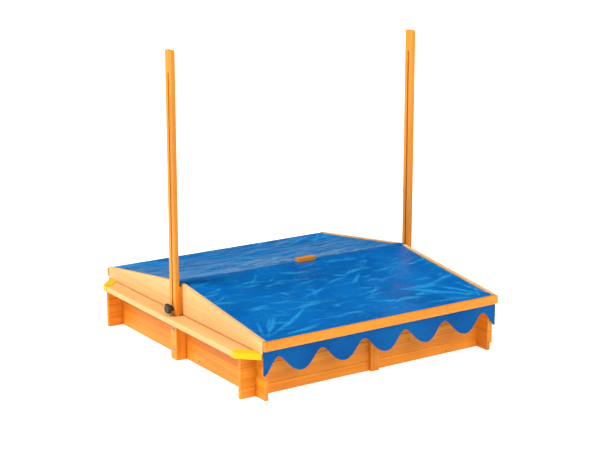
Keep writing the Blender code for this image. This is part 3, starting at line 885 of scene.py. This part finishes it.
def screw_heads(name, places, body, radius=SCREW_R):
    """Countersunk cross-slot screws, each set a little into its board: places are (point, direction)."""
    work = bmesh.new()
    for number, (point, axis) in enumerate(places):
        frame_at = facing(point, axis) @ Matrix.Rotation(1.7 * number, 4, "Z")
        slot = radius * 0.62
        arm = radius * 0.15
        steps = 40

        def recess(r, height, angle):
            """Pulls the recess's ring into a cross."""
            if height > -0.0001 or r > slot * 1.01:
                return r
            local = (angle + math.pi / 4) % (math.pi / 2) - math.pi / 4
            return min(r, arm / max(abs(math.sin(local)), 0.15))

        profile = [
            (0, -0.0016), (slot * 0.30, -0.0015), (slot, -0.00045), (slot * 1.03, 0.00010),
            (radius * 0.90, 0.00020), (radius, 0.00005), (radius, -0.00030),
            (radius * 0.4, -0.0024), (0, -0.0025),
        ]
        turned(work, profile, steps, frame_at, recess)
    piece = new_object(name, work, [YELLOW_ZINC], 40)
    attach(piece, body)
    return piece


def all_screws():
    """Screws through strips, supports, gables and seats."""
    for name, end in ENDS:
        low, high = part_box(f"strip_{name}")
        face = low.y if end < 0 else high.y
        height = (low.z + high.z) / 2
        reach = high.x - STRIP_SCREW_INSET
        spots = [((share * reach, face, height), (0, end, 0)) for share in STRIP_SCREWS]
        screw_heads(f"strip_screws_{name}", spots, "canopy")
        low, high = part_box(f"support_{name}")
        face = low.y if end < 0 else high.y
        spots = [((0, face, low.z + share * (high.z - low.z)), (0, end, 0)) for share in SUPPORT_SCREWS]
        screw_heads(f"support_screws_{name}", spots, "frame")
    for name, side in SIDES:
        low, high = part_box(f"gable_{name}")
        face = low.x if side < 0 else high.x
        top = high.z
        rail = (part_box("rail_front")[0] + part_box("rail_front")[1]) / 2
        spots = [((face, y, top - RIDGE_SCREW_DROP), (side, 0, 0)) for y in RIDGE_SCREWS]
        spots += [((face, end * abs(rail.y), rail.z), (side, 0, 0)) for end in (-1, 1)]
        screw_heads(f"gable_screws_{name}", spots, "canopy")
        low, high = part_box(f"seat_{name}")
        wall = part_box(f"wall_{name}_upper")
        spots = [(((wall[0].x + wall[1].x) / 2, y, high.z), (0, 0, 1)) for y in SEAT_SCREWS]
        screw_heads(f"seat_screws_{name}", spots, "frame")


def hardware():
    for name, side in SIDES:
        for row in ("lower", "upper"):
            bolt(f"wall_bolt_{name}_{row}", f"post_bolt_{name}_{row}", "frame", side)
            hex_nut(f"wall_nut_{name}_{row}", f"post_nut_{name}_{row}", "frame", -side)
        bolt(f"roof_bolt_{name}", f"pivot_bolt_{name}", "carriage", -side)
        washer(f"knob_washer_{name}", f"pivot_washer_{name}", "carriage")
        knob(f"clamping_knob_{name}", f"knob_{name}", f"knob_{name}", side)


def caps():
    for end_name, end in ENDS:
        for side_name, side in SIDES:
            give_material(NODES[f"cap_{end_name}_{side_name}"], YELLOW)


def roof():
    sheet, flat = roof_fabric()
    tabs = [ridge_tab(name, side) for name, side in SIDES]
    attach(sheet, "canopy")
    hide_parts("roof_tarp")
    for tab in tabs:
        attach(tab, "canopy")
    for name, end in ENDS:
        cloth, sewn, flat, area = valance(name, end)
        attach(cloth, "canopy")
        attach(sewn, "canopy")
        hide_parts(f"valance_{name}")


# ---------------------------------------------------------------- stage

def floor():
    bpy.ops.mesh.primitive_plane_add(size=FLOOR_SIZE)
    plane = bpy.context.object
    plane.name = "studio_floor"
    g = Graph("studio_floor")
    g.set(base_color=g.mix(g.noise(g.position, 1.5, 2.0), *FLOOR_TONES))
    g.shader.inputs["Roughness"].default_value = 0.9
    g.shader.inputs["Specular IOR Level"].default_value = 0.1
    g.shader.inputs["Emission Color"].default_value = (1, 1, 1, 1)
    g.shader.inputs["Emission Strength"].default_value = FLOOR_GLOW
    give_material(plane, g.material)


def surroundings():
    """A studio that is bright along the horizon, most of all behind on the left, and dim overhead."""
    world = bpy.data.worlds.new("studio")
    bpy.context.scene.world = world
    world.use_nodes = True
    tree = world.node_tree

    def node(kind, inputs, **settings):
        made = tree.nodes.new("ShaderNode" + kind)
        for key, value in settings.items():
            setattr(made, key, value)
        for socket, value in inputs.items():
            if isinstance(value, bpy.types.NodeSocket):
                tree.links.new(value, made.inputs[socket])
            else:
                made.inputs[socket].default_value = value
        return made

    direction = node("TexCoord", {}).outputs["Generated"]
    height = node("SeparateXYZ", {0: direction}).outputs["Z"]
    to_panel = node("VectorMath", {0: direction, 1: PANEL_WAY}, operation="DOT_PRODUCT").outputs["Value"]

    def ramp(value, edge, to_min, to_max):
        inputs = {
            "Value": value, "From Min": edge[0], "From Max": edge[1], "To Min": to_min, "To Max": to_max,
        }
        return node("MapRange", inputs, interpolation_type="SMOOTHSTEP").outputs[0]

    panel = ramp(to_panel, PANEL_EDGE, HORIZON_DIM, HORIZON_BRIGHT)
    rise = ramp(height, HORIZON_EDGE, 0.0, 1.0)
    level = node("Mix", {0: rise, 2: panel, 3: OVERHEAD}, data_type="FLOAT").outputs[0]
    tree.links.new(level, tree.nodes["Background"].inputs["Strength"])


def sun(name, come_from, strength, angle, tint):
    light = bpy.data.lights.new(name, "SUN")
    light.energy = strength
    light.angle = math.radians(angle)
    light.color = tint
    obj = bpy.data.objects.new(name, light)
    bpy.context.scene.collection.objects.link(obj)
    obj.rotation_euler = (-Vector(come_from)).to_track_quat("-Z", "Y").to_euler()


def camera():
    yaw, pitch = math.radians(CAMERA_YAW), math.radians(CAMERA_PITCH)
    forward = Vector((math.sin(yaw) * math.cos(pitch), math.cos(yaw) * math.cos(pitch), -math.sin(pitch)))
    lens = bpy.data.cameras.new("camera")
    lens.sensor_width = SENSOR_WIDTH
    lens.lens = CAMERA_LENS
    lens.clip_end = 100.0
    obj = bpy.data.objects.new("camera", lens)
    bpy.context.scene.collection.objects.link(obj)
    obj.location = Vector(CAMERA_TARGET) - forward * CAMERA_DISTANCE
    obj.rotation_mode = "QUATERNION"
    obj.rotation_quaternion = forward.to_track_quat("-Z", "Y")
    bpy.context.scene.camera = obj


camera()
dress_wood()
roof()
hardware()
caps()
all_screws()
floor()
surroundings()
for settings in SUNS:
    sun(*settings)
bpy.context.scene.view_settings.view_transform = "Standard"
